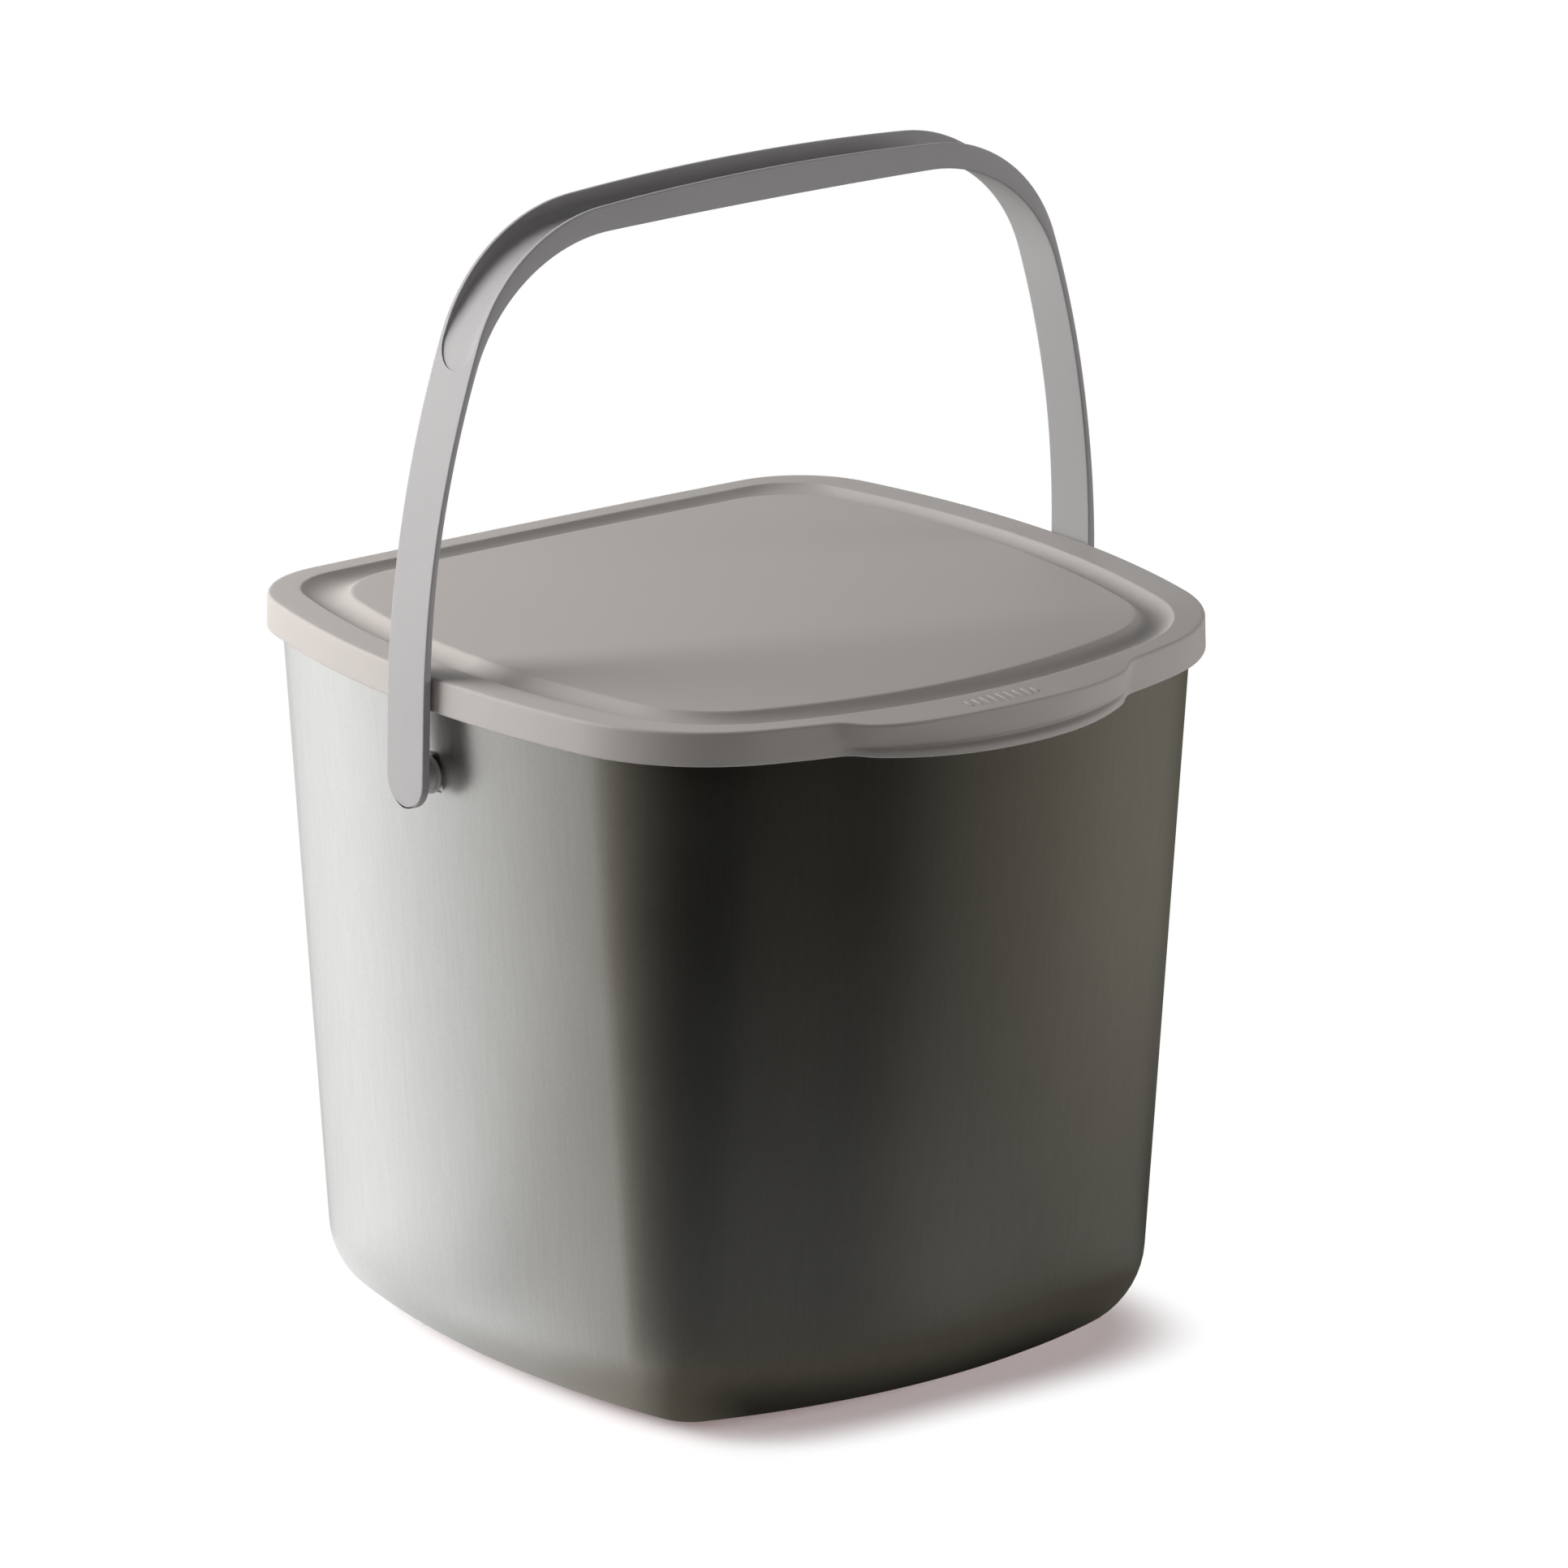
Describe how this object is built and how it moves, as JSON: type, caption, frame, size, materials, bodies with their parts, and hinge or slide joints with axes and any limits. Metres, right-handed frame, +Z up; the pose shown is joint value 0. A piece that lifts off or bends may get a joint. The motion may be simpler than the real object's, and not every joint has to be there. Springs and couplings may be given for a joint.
{
  "type": "kitchen compost bin",
  "caption": "Countertop compost bin: bowed square steel pail with a moulded lift-off lid, front finger tab and a swinging strap handle.",
  "frame": {"origin": "middle of the flat base on the surface it stands on, under the bin's widest line", "axes": "+X to the right along the front, +Y from the finger tab to the back, +Z up"},
  "size_m": [0.2078, 0.2032, 0.2981],
  "materials": {
    "brushed_steel": "satin",
    "lid_plastic": "matte",
    "handle_plastic": "matte",
    "bushing_plastic": "gloss",
    "fastener_steel": "satin"
  },
  "bodies": {
    "bin": {"bin_shell": "brushed_steel", "left_pivot_bushing": "bushing_plastic", "right_pivot_bushing": "bushing_plastic"},
    "lid": {"lid": "lid_plastic"},
    "handle": {"handle": "handle_plastic", "left_pivot_washer": "fastener_steel", "right_pivot_washer": "fastener_steel", "left_pivot_screw": "fastener_steel", "right_pivot_screw": "fastener_steel"}
  },
  "joints": [
    {"name": "handle_swing", "type": "hinge", "parent": "bin", "child": "handle", "pos_m": [0, -0.0035, 0.1591], "axis": [1, 0, 0], "range_deg": [-138, 132]},
    {"name": "lid_lift", "type": "slide", "parent": "bin", "child": "lid", "axis": [0, 0, 1], "range_m": [0, 0.014]}
  ]
}
